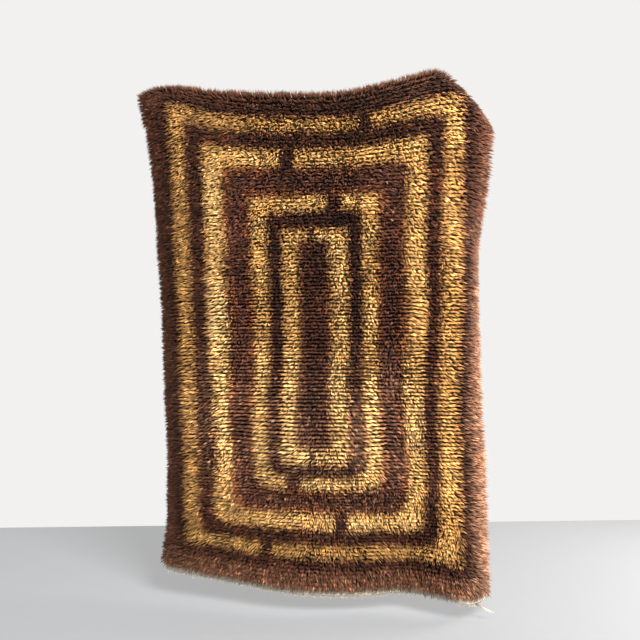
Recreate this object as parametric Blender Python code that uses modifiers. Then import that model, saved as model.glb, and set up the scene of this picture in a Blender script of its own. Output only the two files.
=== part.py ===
"""Shaggy rya rug hanging from its top edge, with one upper corner folded back.

Metres, +Z up, +X to the right seen from the pile side, +Y to the back. The origin is the middle of the
top edge. Places on the cloth are given on the flat rug: `across` from its left edge and `down` from its
top edge.
"""
import math
import random

import bmesh
import bpy
import numpy as np
from mathutils import Vector

NAME = "rya_rug"

# Sizes of the flat rug
WIDTH = 1.42
LENGTH = 2.03
HEM = 0.034
WEAVE_THICK = 0.0025
KNOT_ROWS = 136
GAP = 0.0003

# The pile: how far its valleys and its crests stand off the weave, how lumpy it is, and where in a row its
# crest lies
VALLEY = 0.016
CREST = 0.027
LUMP = 0.0035
CREST_PLACE = 0.68

# Cross sections of the hanging cloth, from the top edge down. `drop` is the height lost, `middle` the shift
# to the right, `gather` the width left by small waves, `back` the set to the back. Each side rolls back by a
# turn in degrees over a reach.
SECTIONS = {
    "down":        [0.000, 0.120, 0.300, 0.600, 0.800, 1.050, 1.250, 1.450, 1.650, 1.820, 2.030],
    "drop":        [0.000, 0.120, 0.299, 0.598, 0.797, 1.046, 1.243, 1.438, 1.620, 1.770, 1.960],
    "middle":      [-.054, -.038, -.034, -.032, -.026, -.024, -.020, -.006, -.004, 0.000, 0.002],
    "gather":      [1.008, 1.000, 0.982, 0.956, 0.946, 0.924, 0.900, 0.888, 0.886, 0.884, 0.884],
    "back":        [-.010, -.005, 0.005, 0.020, 0.030, 0.030, 0.010, -.010, -.015, -.010, -.020],
    "left_turn":   [5, 32, 50, 54, 55, 55, 56, 56, 54, 48, 25],
    "left_reach":  [0.16, 0.16, 0.18, 0.19, 0.20, 0.20, 0.20, 0.20, 0.20, 0.19, 0.17],
    "right_turn":  [10, 15, 40, 85, 90, 75, 62, 60, 60, 60, 55],
    "right_reach": [0.14, 0.14, 0.15, 0.15, 0.15, 0.15, 0.15, 0.15, 0.15, 0.15, 0.14],
}
# The top edge between the two places that hold it: how far it rises, and how far the edge itself curls back
TOP_EDGE = {
    "across": [0.00, 0.07, 0.15, 0.35, 0.62, 0.85, 1.05, 1.20, 1.42],
    "rise":   [.066, .088, .088, .034, 0.00, -.006, .028, .062, .064],
    "curl":   [.016, .018, .018, .006, 0.00, 0.00, 0.00, 0.00, 0.00],
}
TOP_FADE = 0.45
CURL_DEPTH = 0.10
# The lower edge: how far it rises, and how far its waves stand forward
LOWER_EDGE = {
    "across":  [0.00, 0.20, 0.42, 0.62, 0.90, 1.08, 1.25, 1.35, 1.42],
    "rise":    [.056, .046, .032, .022, .014, .016, .018, .008, .000],
    "forward": [-.02, 0.00, 0.04, 0.07, 0.03, -.02, 0.05, 0.07, 0.03],
}
LOWER_FADE = 0.60
# Soft folds and the low belly: where each is, its half width and its reach up and down, and how far it
# stands forward
FOLDS = {
    "across":     [0.72, 0.30, 1.08],
    "half_width": [0.42, 0.10, 0.11],
    "down":       [1.41, 0.95, 0.85],
    "above":      [0.42, 0.45, 0.40],
    "below":      [0.26, 0.45, 0.40],
    "forward":    [.110, .022, .022],
}
# The upper right corner, folded to the back along a 45 degree line
CORNER_LEG = 0.235
CORNER_TURN = math.radians(155)
CORNER_BEND = 0.035

# Mesh cells down the rug, in knot rows each, finer where the corner folds
CELL_ROWS = [2] * 10 + [4] * 29
# Mesh cells across: those from the left side to the fold zone, those in the zone, and the zone's width down
# the rug
LEFT_CELLS = 10
ZONE_CELLS = 5
LEFT_GRADING = 1.12
ZONE = {
    "down":  [0.000, 0.205, 0.260, 0.600, 2.030],
    "width": [0.235, 0.030, 0.030, 0.330, 0.330],
}
COLUMNS = LEFT_CELLS + ZONE_CELLS
CELLS = len(CELL_ROWS)
CELL_STARTS = np.cumsum([0] + CELL_ROWS)

# Backing strips for the locks and the warp ends, as thick as the weave: their gap to its edge and their width
STRIP_GAP = 0.0006
STRIP_OUT = 0.0022
LOCKS_PER_COLUMN = 3
# Locks of the pile along the rim. Their spreads are least and greatest shares, drawn for each lock.
LOCK_LENGTH = 0.028
LOWER_LOCK_LENGTH = 0.016
LOCK_SPREAD = (0.75, 1.15)
LOCK_HALF_HEIGHT = 0.0045
LOCK_HALF_WIDTH_SHARE = 0.34
LOCK_LEAN = (0.35, 0.98)
LOCK_SIDEWAYS = (-0.25, 0.25)
LOCK_SAG = 0.15
ELBOW_OUT = 0.5
ELBOW_LEAN = 0.7
ELBOW_SIDEWAYS = 0.3
SEEDS = {
    "pile": 7,
    "left_locks": 21,
    "right_locks": 22,
    "top_locks": 23,
    "bottom_locks": 24,
    "warp_fringe": 11,
}
# Warp ends under the hem, and the one long tail: which stretch it grows from, counted from the right
WARP_END_LENGTH = 0.012
WARP_END_SPREAD = (0.6, 1.2)
WARP_END_LEAN = (-0.2, 0.5)
TAIL_PLACE = 4
TAIL_LENGTH = 0.075
TAIL_HALF_WIDTH = 0.004
TAIL_HALF_HEIGHT = 0.002
TAIL_ELBOW = (0.40, -0.08, -0.20)
TAIL_TIP = (0.90, -0.10, -0.42)

# Wool and yarn colours of each piece: the pile's is the mean of its browns and golds
COLOURS = {
    "ground_weave": (0.60, 0.52, 0.41),
    "pile": (0.30, 0.17, 0.07),
    "top_locks": (0.20, 0.11, 0.06),
    "left_locks": (0.10, 0.05, 0.03),
    "right_locks": (0.17, 0.08, 0.055),
    "bottom_locks": (0.15, 0.075, 0.05),
    "warp_fringe": (0.68, 0.62, 0.52),
}


def clear_scene():
    for thing in list(bpy.data.objects):
        bpy.data.objects.remove(thing, do_unlink=True)


def material(name, colour, roughness=0.95):
    """Matt wool or yarn of one colour."""
    made = bpy.data.materials.new(name)
    made.use_nodes = True
    shader = made.node_tree.nodes["Principled BSDF"]
    shader.inputs["Base Color"].default_value = (*colour, 1.0)
    shader.inputs["Roughness"].default_value = roughness
    shader.inputs["Metallic"].default_value = 0.0
    return made


def read(table, column, place):
    """A table's column at a place along its first column, on a smooth curve through the rows."""
    places = np.array(next(iter(table.values())), float)
    values = np.array(table[column], float)
    steps = np.diff(places)
    rates = np.diff(values) / steps
    inner = (rates[:-1] * steps[1:] + rates[1:] * steps[:-1]) / (steps[1:] + steps[:-1])
    slopes = np.concatenate([rates[:1], inner, rates[-1:]])
    place = np.clip(place, places[0], places[-1])
    row = np.clip(np.searchsorted(places, place) - 1, 0, len(steps) - 1)
    t = (place - places[row]) / steps[row]
    start = (2 * t**3 - 3 * t**2 + 1) * values[row] + (t**3 - 2 * t**2 + t) * steps[row] * slopes[row]
    end = (3 * t**2 - 2 * t**3) * values[row + 1] + (t**3 - t**2) * steps[row] * slopes[row + 1]
    return start + end


def bump(t):
    """A smooth hump: 1 at 0, 0 at 1 and past it."""
    t = np.clip(np.abs(t), 0, 1)
    return (1 - t * t) ** 2


def roll(inside, turn, reach):
    """How far out and how far back a rolled side carries a point that lies `inside` its edge."""
    radius = reach / np.radians(turn)
    arc = np.maximum(reach - inside, 0) / radius
    return radius * np.sin(arc), radius * (1 - np.cos(arc))


def hang(across, down):
    """Where a point of the flat rug hangs, before the corner is folded."""
    left_reach = read(SECTIONS, "left_reach", down)
    right_reach = read(SECTIONS, "right_reach", down)
    left_out, left_back = roll(across, read(SECTIONS, "left_turn", down), left_reach)
    right_out, right_back = roll(WIDTH - across, read(SECTIONS, "right_turn", down), right_reach)
    flat = np.clip(across, left_reach, WIDTH - right_reach) - WIDTH / 2
    curl = read(TOP_EDGE, "curl", across) * bump(down / CURL_DEPTH)
    past_ends = np.maximum(down - LENGTH, 0) + np.minimum(down, 0)
    x = read(SECTIONS, "middle", down) + flat * read(SECTIONS, "gather", down) - left_out + right_out
    y = read(SECTIONS, "back", down) + left_back + right_back + 2 * curl
    z = -read(SECTIONS, "drop", down) - past_ends - curl
    z = z + read(TOP_EDGE, "rise", across) * bump(down / TOP_FADE)
    z = z + read(LOWER_EDGE, "rise", across) * bump((LENGTH - down) / LOWER_FADE)
    y = y - read(LOWER_EDGE, "forward", across) * bump((LENGTH - down) / LOWER_FADE)
    for place, half_width, low, above, below, forward in zip(*FOLDS.values()):
        reach = np.where(down < low, above, below)
        y = y - forward * bump((across - place) / half_width) * bump((down - low) / reach)
    return np.stack([x, y, z], -1)


def unit(vectors):
    return vectors / np.linalg.norm(vectors, axis=-1, keepdims=True)


def directions(shape, across, down, step=0.002):
    """Unit vectors of the cloth at a point: to the right, down, and out on the pile side."""
    right = unit(shape(across + step, down) - shape(across - step, down))
    lower = shape(across, down + step) - shape(across, down - step)
    out = unit(np.cross(lower, right))
    return right, np.cross(right, out), out


def drape(across, down):
    """Where a point of the flat rug hangs, with the upper right corner folded back."""
    across, down = np.broadcast_arrays(np.asarray(across, float), np.asarray(down, float))
    past = (across - (WIDTH - CORNER_LEG) - down) / math.sqrt(2)
    over = np.maximum(past, 0)[..., None]
    foot_across = across - over[..., 0] / math.sqrt(2)
    foot_down = down + over[..., 0] / math.sqrt(2)
    right, lower, out = directions(hang, foot_across, foot_down)
    corner_way = unit(right - lower)
    turn = np.minimum(over / CORNER_BEND, CORNER_TURN)
    rest = np.maximum(over - CORNER_BEND * CORNER_TURN, 0)
    along = CORNER_BEND * np.sin(turn) + rest * math.cos(CORNER_TURN)
    behind = CORNER_BEND * (1 - np.cos(turn)) + rest * math.sin(CORNER_TURN)
    return hang(foot_across, foot_down) + corner_way * along - out * behind


def column_places(down):
    """Where the mesh's columns cross a row: the last few gather along the corner's fold."""
    zone = np.interp(down, ZONE["down"], ZONE["width"])
    left = (WIDTH - zone) * np.linspace(0, 1, LEFT_CELLS + 1) ** LEFT_GRADING
    right = WIDTH - zone * np.linspace(1, 0, ZONE_CELLS + 1)
    return np.concatenate([left, right[1:]])


def cloth_grid():
    """Places of the mesh's crossings, by row and column, the hem's row last."""
    downs = np.append(CELL_STARTS * (LENGTH - HEM) / KNOT_ROWS, LENGTH)
    across = np.array([column_places(down) for down in downs])
    return drape(across, downs[:, None])


def between(rows, place):
    """A row of points at any place between rows, straight from one to the next."""
    row = min(int(place), len(rows) - 2)
    share = place - row
    return rows[row] * (1 - share) + rows[row + 1] * share


def new_object(name, mesh_parts, collection):
    """A node of that name, in its own colour."""
    mesh = bpy.data.meshes.new(name)
    mesh_parts.to_mesh(mesh)
    mesh_parts.free()
    mesh.materials.append(material(name, COLOURS[name]))
    made = bpy.data.objects.new(name, mesh)
    collection.objects.link(made)
    return made


def add_surface(parts, rows):
    """A surface through rows of points, each cell split along the corner fold's way."""
    points = [[parts.verts.new(point) for point in row] for row in rows]
    for upper, lower in zip(points, points[1:]):
        for i in range(len(upper) - 1):
            parts.faces.new((upper[i], lower[i], lower[i + 1]))
            parts.faces.new((upper[i], lower[i + 1], upper[i + 1]))
    return points


def close_up(parts):
    """Splits a closed body's faces into triangles and turns them outward."""
    bmesh.ops.triangulate(parts, faces=[face for face in parts.faces if len(face.verts) > 3])
    bmesh.ops.recalc_face_normals(parts, faces=parts.faces)
    if parts.calc_volume(signed=True) < 0:
        bmesh.ops.reverse_faces(parts, faces=parts.faces)


def ground_weave(places, collection):
    """The woven sheet, hem included: one open surface made thick. Gives its outward ways at the crossings."""
    parts = bmesh.new()
    add_surface(parts, places)
    made = new_object("ground_weave", parts, collection)
    outs = np.array([vertex.normal for vertex in made.data.vertices]).reshape(places.shape)
    thick = made.modifiers.new("thickness", "SOLIDIFY")
    thick.thickness = WEAVE_THICK
    thick.offset = 0.0
    thick.use_even_offset = False
    return outs


def crest_rows(places, outs):
    """The pile's face: a valley and a crest for each row of knots, lumpy and uneven along the row."""
    lumps = random.Random(SEEDS["pile"])
    rows = []
    for half_row in range(2 * KNOT_ROWS + 1):
        is_crest = half_row % 2
        row = half_row // 2 + is_crest * CREST_PLACE
        place = np.interp(row, CELL_STARTS, range(CELLS + 1))
        height = CREST if is_crest else VALLEY
        heights = np.array([height + lumps.uniform(-LUMP, LUMP) for _ in range(COLUMNS + 1)])
        rows.append(between(places, place) + between(outs, place) * heights[:, None])
    return rows


def pile(places, outs, collection):
    """The pile as one ribbed, lumpy slab that lies against the weave's face."""
    parts = bmesh.new()
    standoff = WEAVE_THICK / 2 + GAP
    back = add_surface(parts, places[:CELLS + 1] + outs[:CELLS + 1] * standoff)
    front = add_surface(parts, crest_rows(places[:CELLS + 1], outs[:CELLS + 1]))
    for side in (0, COLUMNS):
        for cell in range(CELLS):
            half_rows = range(2 * CELL_STARTS[cell], 2 * CELL_STARTS[cell + 1] + 1)
            wall = [front[half_row][side] for half_row in half_rows]
            parts.faces.new([back[cell][side], *wall, back[cell + 1][side]])
    for back_row, front_row in ((back[0], front[0]), (back[-1], front[-1])):
        for i in range(COLUMNS):
            parts.faces.new((back_row[i], back_row[i + 1], front_row[i + 1], front_row[i]))
    close_up(parts)
    return new_object("pile", parts, collection)


def edge_lines(edge, inner, outs, places):
    """An edge's points at places along it, with the ways out of the edge and to the pile side."""
    points = np.array([between(edge, place) for place in places])
    inner_points = np.array([between(inner, place) for place in places])
    facing = unit(np.array([between(outs, place) for place in places]))
    outward = unit(np.cross(unit(np.gradient(points, axis=0)), facing))
    away = np.sign(np.sum(outward * (points - inner_points), axis=1, keepdims=True))
    return points, outward * away, facing


def strip_with_locks(name, lines, centre, locks, collection):
    """A narrow backing strip along an edge, with a lock drawn out of each stretch of its outer face.

    `lines` is what edge_lines gives. `centre` is how far the strip's middle lies to the pile side of the
    edge's. A lock with an elbow bends and is widest there.
    """
    parts = bmesh.new()
    low = centre - WEAVE_THICK / 2
    high = centre + WEAVE_THICK / 2
    rings = []
    for point, outward, facing in zip(*lines):
        inner = point + outward * STRIP_GAP
        outer = inner + outward * STRIP_OUT
        corners = (inner + facing * low, inner + facing * high, outer + facing * high, outer + facing * low)
        rings.append([parts.verts.new(corner) for corner in corners])
    outer_faces = []
    for first, second in zip(rings, rings[1:]):
        sides = [parts.faces.new((first[k], first[k - 3], second[k - 3], second[k])) for k in range(4)]
        outer_faces.append(sides[2])
    parts.faces.new(rings[0])
    parts.faces.new(rings[-1][::-1])
    for i, (face, shape) in enumerate(zip(outer_faces, locks)):
        if "elbow" in shape:
            along = Vector(unit(lines[0][i + 1] - lines[0][i])) * shape["half_wide"]
            facing = Vector(lines[2][i]) * shape["half_high"]
            middle = face.calc_center_median()
            face = bmesh.ops.extrude_discrete_faces(parts, faces=[face])["faces"][0]
            for vertex in face.verts:
                from_middle = vertex.co - middle
                across = math.copysign(1, from_middle.dot(along))
                up = math.copysign(1, from_middle.dot(facing))
                vertex.co = Vector(shape["elbow"]) + along * across + facing * up
        bmesh.ops.poke(parts, faces=[face])["verts"][0].co = shape["tip"]
    close_up(parts)
    return new_object(name, parts, collection)


def rim_locks(name, lines, centre, length, collection):
    """Locks that stand out of an edge, lean to the pile side and hang a little, long and short by turns."""
    points, outward, facing = lines
    draws = random.Random(SEEDS[name])
    locks = []
    for i in range(len(points) - 1):
        root = (points[i] + points[i + 1]) / 2 + facing[i] * centre
        stretch = points[i + 1] - points[i]
        reach = length * draws.uniform(*LOCK_SPREAD)
        leaning = draws.uniform(*LOCK_LEAN)
        sideways = unit(stretch) * reach * draws.uniform(*LOCK_SIDEWAYS)
        sag = np.array([0, 0, reach * LOCK_SAG])
        elbow_way = outward[i] * ELBOW_OUT + facing[i] * leaning * ELBOW_LEAN
        elbow = root + elbow_way * reach + sideways * ELBOW_SIDEWAYS
        tip = root + (outward[i] + facing[i] * leaning) * reach + sideways - sag
        half_wide = np.linalg.norm(stretch) * LOCK_HALF_WIDTH_SHARE
        locks.append({"elbow": elbow, "tip": tip, "half_wide": half_wide, "half_high": LOCK_HALF_HEIGHT})
    return strip_with_locks(name, lines, centre, locks, collection)


def warp_fringe(lines, collection):
    """The short warp ends under the hem, with the long tail near the right corner."""
    points, outward, facing = lines
    draws = random.Random(SEEDS["warp_fringe"])
    locks = []
    for i in range(len(points) - 1):
        root = (points[i] + points[i + 1]) / 2 + outward[i] * STRIP_OUT
        reach = WARP_END_LENGTH * draws.uniform(*WARP_END_SPREAD)
        leaning = draws.uniform(*WARP_END_LEAN)
        lock = {"tip": root + (outward[i] + facing[i] * leaning) * reach}
        if i == len(points) - TAIL_PLACE:
            elbow = root + np.array(TAIL_ELBOW) * TAIL_LENGTH
            tip = root + np.array(TAIL_TIP) * TAIL_LENGTH
            lock = {"elbow": elbow, "tip": tip, "half_wide": TAIL_HALF_WIDTH, "half_high": TAIL_HALF_HEIGHT}
        locks.append(lock)
    return strip_with_locks("warp_fringe", lines, 0.0, locks, collection)


def main():
    clear_scene()
    collection = bpy.data.collections.new(NAME)
    bpy.context.scene.collection.children.link(collection)
    places = cloth_grid()
    outs = ground_weave(places, collection)
    pile(places, outs, collection)
    piled = places[:CELLS + 1].transpose(1, 0, 2)
    piled_outs = outs[:CELLS + 1].transpose(1, 0, 2)
    side_places = np.interp(range(0, KNOT_ROWS + 1, 2), CELL_STARTS, range(CELLS + 1))
    end_places = np.arange(COLUMNS * LOCKS_PER_COLUMN + 1) / LOCKS_PER_COLUMN
    for name, column, inner in (("left_locks", 0, 1), ("right_locks", COLUMNS, COLUMNS - 1)):
        lines = edge_lines(piled[column], piled[inner], piled_outs[column], side_places)
        rim_locks(name, lines, 0.0, LOCK_LENGTH, collection)
    lines = edge_lines(places[0], places[1], outs[0], end_places)
    rim_locks("top_locks", lines, 0.0, LOCK_LENGTH, collection)
    lines = edge_lines(places[CELLS], places[CELLS - 1], outs[CELLS], end_places)
    rim_locks("bottom_locks", lines, WEAVE_THICK + GAP, LOWER_LOCK_LENGTH, collection)
    lines = edge_lines(places[CELLS + 1], places[CELLS], outs[CELLS + 1], end_places)
    warp_fringe(lines, collection)


main()
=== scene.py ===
"""Rya rug hanging from its top edge: a woven ground, rows of knotted wool pile, rim wool and warp ends.

Metres, +Z up, +X to the right seen from the pile side, +Y to the back. The origin is the middle of the top
edge. Places on the cloth are given on the flat rug: `across` from its left edge and `down` from its top
edge.
"""
import math

import bpy
import numpy as np
from bpy.props import FloatProperty, FloatVectorProperty, IntProperty, PointerProperty
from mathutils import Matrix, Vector


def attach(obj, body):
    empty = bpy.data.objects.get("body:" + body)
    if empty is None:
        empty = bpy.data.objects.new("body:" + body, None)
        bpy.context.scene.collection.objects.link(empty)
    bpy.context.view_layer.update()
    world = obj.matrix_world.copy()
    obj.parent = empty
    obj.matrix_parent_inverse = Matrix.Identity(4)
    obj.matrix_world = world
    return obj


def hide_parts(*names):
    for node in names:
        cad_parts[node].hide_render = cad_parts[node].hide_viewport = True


bl_info = {
    "name": "Rya rug",
    "version": (1, 0, 0),
    "blender": (4, 5, 0),
    "location": "3D View > Sidebar > Rya rug",
    "description": "Knots a shaggy wool rug: woven ground, rows of pile, rim wool, warp ends and a stage",
    "category": "Add Mesh",
}

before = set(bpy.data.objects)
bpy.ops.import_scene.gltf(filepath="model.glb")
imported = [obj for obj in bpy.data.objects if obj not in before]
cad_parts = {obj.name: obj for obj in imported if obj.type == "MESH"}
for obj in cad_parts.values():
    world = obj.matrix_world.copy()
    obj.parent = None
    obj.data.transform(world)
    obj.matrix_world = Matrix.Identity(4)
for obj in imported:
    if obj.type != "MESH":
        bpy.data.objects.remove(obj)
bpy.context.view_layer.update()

# Sizes of the flat rug
WIDTH = 1.42
LENGTH = 2.03
HEM = 0.034
WEAVE_THICK = 0.0025
WEAVE_CELLS = 95
WARP_PITCH = 0.0046
WEFT_PITCH = 0.0024
KNOT_ROWS = 136
PITCH = (LENGTH - HEM) / KNOT_ROWS

# Cross sections of the hanging cloth, from the top edge down. `drop` is the height lost, `middle` the shift
# to the right, `gather` the width left by small waves, `back` the set to the back. Each side rolls back by a
# turn in degrees over a reach.
SECTIONS = {
    "down":        [0.000, 0.120, 0.300, 0.600, 0.800, 1.050, 1.250, 1.450, 1.650, 1.820, 2.030],
    "drop":        [0.000, 0.120, 0.299, 0.598, 0.797, 1.046, 1.243, 1.438, 1.620, 1.770, 1.960],
    "middle":      [-.054, -.038, -.034, -.032, -.026, -.024, -.020, -.006, -.004, 0.000, 0.002],
    "gather":      [1.008, 1.000, 0.982, 0.956, 0.946, 0.924, 0.900, 0.888, 0.886, 0.884, 0.884],
    "back":        [-.010, -.005, 0.005, 0.020, 0.030, 0.030, 0.010, -.010, -.015, -.010, -.020],
    "left_turn":   [5, 32, 50, 54, 55, 55, 56, 56, 54, 48, 25],
    "left_reach":  [0.16, 0.16, 0.18, 0.19, 0.20, 0.20, 0.20, 0.20, 0.20, 0.19, 0.17],
    "right_turn":  [10, 15, 40, 85, 90, 75, 62, 60, 60, 60, 55],
    "right_reach": [0.14, 0.14, 0.15, 0.15, 0.15, 0.15, 0.15, 0.15, 0.15, 0.15, 0.14],
}
# The top edge between the two places that hold it: how far it rises, and how far the edge itself curls back
TOP_EDGE = {
    "across": [0.00, 0.07, 0.15, 0.35, 0.62, 0.85, 1.05, 1.20, 1.42],
    "rise":   [.066, .088, .088, .034, 0.00, -.006, .028, .062, .064],
    "curl":   [.016, .018, .018, .006, 0.00, 0.00, 0.00, 0.00, 0.00],
}
TOP_FADE = 0.45
CURL_DEPTH = 0.10
# The lower edge: how far it rises, and how far its waves stand forward
LOWER_EDGE = {
    "across":  [0.00, 0.20, 0.42, 0.62, 0.90, 1.08, 1.25, 1.35, 1.42],
    "rise":    [.056, .046, .032, .022, .014, .016, .018, .008, .000],
    "forward": [-.02, 0.00, 0.04, 0.07, 0.03, -.02, 0.05, 0.07, 0.03],
}
LOWER_FADE = 0.60
# Soft folds and the low belly: where each is, its half width and its reach up and down, and how far it
# stands forward
FOLDS = {
    "across":     [0.72, 0.30, 1.08],
    "half_width": [0.42, 0.10, 0.11],
    "down":       [1.41, 0.95, 0.85],
    "above":      [0.42, 0.45, 0.40],
    "below":      [0.26, 0.45, 0.40],
    "forward":    [.110, .022, .022],
}
# The upper right corner, folded to the back along a 45 degree line
CORNER_LEG = 0.235
CORNER_TURN = math.radians(155)
CORNER_BEND = 0.035

# Bands from the rim inwards: the wool mix of each, and its width at the four sides. What is left is the slot.
BANDS = {
    "mix":    ["border", "straw", "brown", "gold", "wide", "gold", "dark", "gold", "slot"],
    "left":   [0.116, 0.077, 0.056, 0.098, 0.094, 0.088, 0.044, 0.086],
    "right":  [0.105, 0.088, 0.045, 0.100, 0.090, 0.084, 0.046, 0.088],
    "top":    [0.080, 0.074, 0.050, 0.092, 0.095, 0.084, 0.054, 0.062],
    "bottom": [0.108, 0.072, 0.050, 0.093, 0.087, 0.080, 0.034, 0.084],
}
# Dark bars across the gold bands at the top and the bottom: which band, how far from the middle, half width
BARS = {
    "band":       [1, 3, 5, 7],
    "offset":     [0.215, -.100, 0.090, 0.000],
    "half_width": [0.024, 0.028, 0.030, 0.012],
}
# Parts of each yarn in a band's wool, near its edges and in its heart
EDGE_MIX = {
    "border": {"dark": 6, "brown": 3},
    "straw":  {"ochre": 5, "chestnut": 3, "brown": 4},
    "gold":   {"ochre": 6, "chestnut": 3, "brown": 3},
    "brown":  {"dark": 6, "brown": 4},
    "wide":   {"brown": 5, "chestnut": 1, "dark": 4},
    "dark":   {"dark": 9, "brown": 1},
    "slot":   {"dark": 3, "brown": 5, "chestnut": 2},
}
HEART_MIX = {
    "border": {"brown": 7, "chestnut": 2, "plum": 2, "dark": 1},
    "straw":  {"gold": 8, "ochre": 5, "cream": 1},
    "gold":   {"gold": 12, "cream": 6, "ochre": 1},
    "brown":  {"dark": 6, "brown": 3},
    "wide":   {"dark": 6, "brown": 3, "plum": 3, "fawn": 0.3},
    "dark":   {"dark": 1},
    "slot":   {"dark": 8, "brown": 2, "plum": 1},
}
MIXES = list(EDGE_MIX)
YARNS = ["cream", "gold", "ochre", "fawn", "rust", "chestnut", "brown", "plum", "dark"]
# How far in from a band's edges its heart begins, and where it begins and is full in the border
EDGE_DEPTH = 0.036
BORDER_HEART = 0.02
BORDER_HEART_DEPTH = 0.05
# Radius of the bands' corners at the top and at the bottom
CORNER_RADIUS = {"top": 0.020, "bottom": 0.075}
# How far strands stray from their band's outline: across and down
STRAY = (0.0060, 0.0050)

# Patches where the wool differs: the middle of each, half its width and half its height
PATCHES = {
    # The pale patches paint sheen on the belly and a highlight along the left fold; the belly and the low
    # side patches paint glints
    "name":        ["pale", "fold_highlight_left", "belly", "glints_left", "glints_right", "glow", "lying", "combed"],
    "across":      [0.70, 0.28, 0.70, 0.27, 1.02, 0.43, 0.00, 1.42],
    "half_width":  [0.60, 0.16, 0.62, 0.24, 0.26, 0.22, 0.80, 0.75],
    "down":        [1.38, 0.90, 1.42, 1.30, 1.30, 1.18, 0.30, 0.30],
    "half_height": [0.45, 0.60, 0.42, 0.45, 0.45, 0.40, 0.62, 0.75],
}
# Slow changes over the rug: how long their waves are, and the seed of each
WAVES = {
    "pale": (0.35, 5), "warm": (0.28, 9), "worn": (0.17, 17), "rusty": (0.24, 19),
    "yarn": (0.055, 11), "light": (0.16, 13),
    "side": (0.30, 1), "quick_side": (0.045, 2), "droop": (0.22, 3), "quick_droop": (0.040, 4),
}
# Parts of a yarn added to a band's mix: along the seams of gold and brown, where the wool is worn or rusty,
# in the patches, where fawn and plum paint glints, and in the border, lighter at the right and at the foot,
# partly faded and partly painted light
ADDED = {
    "seam_rust": 4, "seam_chestnut": 3, "worn_brown": 7, "rusty_rust": 0.9, "glow_rust": 2.5,
    "belly_glint_fawn": 2.2, "belly_glint_plum": 2.5, "ruffled_glint_fawn": 1.6, "right_faded_and_lit_fawn": 8, "foot_faded_and_lit_fawn": 2.5,
}
# Where the border is lighter at the right, partly faded yarn and partly painted light: how far in from the
# right rim, from where down it grows and over what length, and its least share. At the foot, lighter in the
# same way: how far up.
RIGHT_FADE_AND_LIGHT = {"reach": 0.12, "from": 0.35, "over": 1.1, "least": 0.06}
FOOT_REACH = 0.10
# How unlike in lightness the strands are: in gold, in the border, elsewhere, and added in the ruffled patches
# as speckle of painted glints
UNEVEN = {"gold": 0.23, "border": 0.22, "other": 0.32, "ruffled_glints": 0.22}

# One strand of yarn: three corners at the root and at the elbow, and a point at the tip
STRAND_FACES = [
    (0, 1, 4), (0, 4, 3), (1, 2, 5), (1, 5, 4), (2, 0, 3), (2, 3, 5),
    (3, 4, 6), (4, 5, 6), (5, 3, 6),
]
# Painted shade and highlight along a strand: its root corners darkened for the shade between the rows, its
# tip lightened as a painted highlight
STRAND_PAINTED_SHADE = [0.08, 0.08, 0.08, 0.70, 0.70, 0.70, 1.60]
# How thick a strand is at its root, as a share of its elbow
ROOT_SHARE = 0.8
PILE_PIECES = 5

# The matted roots, a dark bed of painted shade between the rows: corners across and down, how far their top
# stands off the weave, how dark their painted shade is
BED_CORNERS = (84, 110)
BED_TOP = 0.009
BED_PAINTED_SHADE = 0.12
# How far in from each edge of the rug the pile fans out
FAN = {"side": 0.09, "top": 0.03, "bottom": 0.08}
# How far strands stray up and down from their row, and what that gains where rows lie neat, at the sides
# and in the lying and the combed patches
LOOSE = {"all": 0.0031, "neat": -0.0014, "side": 0.0060, "lying": 0.0022, "combed": -0.0002}
# How strands lean to the right and down: by slow and quick changes, by chance for each tuft and strand, in
# patches, and towards the edges
SIDEWAYS = {
    "slow": 0.20, "quick": 0.07, "tuft": 0.20, "strand": 0.10,
    "outward": 0.55, "fan": 0.40, "combed": 0.45,
}
DOWNWARD = {
    "slow": 0.5, "quick": 0.07, "tuft": 0.14, "strand": 0.05,
    "lying": 0.45, "top": -1.4, "bottom": 0.7,
}
# How unequal in length strands are, by tuft and by strand, and what they gain at the left rim
UNEQUAL = {"tuft": 0.04, "strand": 0.08, "left": -0.12}

# The rim wool: strands for each knot at the ends and for each row at the sides, and how deep it grows
RIM_STRANDS = {"ends": 24, "sides": 21}
RIM_DEPTH = {"top": 0.014, "bottom": 0.060, "left": 0.030, "right": 0.040}
RIM_INSET = 0.003
# The warp ends, and the tail of yarns at the right corner, with the ways to its elbow and its tip
WARP_ENDS = 700
WARP_RADIUS = 0.0008
TAIL_YARNS = 14
TAIL_PLACE = 1.365
TAIL_LENGTH = 0.075
TAIL_ELBOW = (0.40, -0.08, -0.20)
TAIL_TIP = (0.90, -0.10, -0.42)

# The stage: the floor's height and corners, the lamps, and the camera, whose angles are in degrees
FLOOR_HEIGHT = -2.012
FLOOR_CORNERS = [(-4.1, -3.4), (3.7, -3.4), (3.7, 2.05), (-4.1, 0.55)]
LAMPS = {
    "name":   ["key", "rim", "fill"],
    "place":  [(2.1, -2.9, 1.5), (2.6, 0.9, -0.8), (-2.4, -3.0, -0.4)],
    "goal":   [(0.0, 0.0, -1.0), (0.6, 0.0, -1.1), (0.0, 0.0, -1.1)],
    "size":   [2.0, 1.0, 2.2],
    "power":  [640.0, 110.0, 14.0],
    "colour": [(1.0, 0.975, 0.93), (1.0, 0.93, 0.85), (0.93, 0.96, 1.0)],
}
CAMERA = {"turn": 8.0, "tilt": 3.0, "distance": 2.743, "eye": -1.045, "view": 49.6}


def hue(red, green, blue):
    """A screen colour of 0 to 255 as the shader's own values."""
    return tuple(((value / 255 + 0.055) / 1.055) ** 2.4 for value in (red, green, blue))


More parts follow.
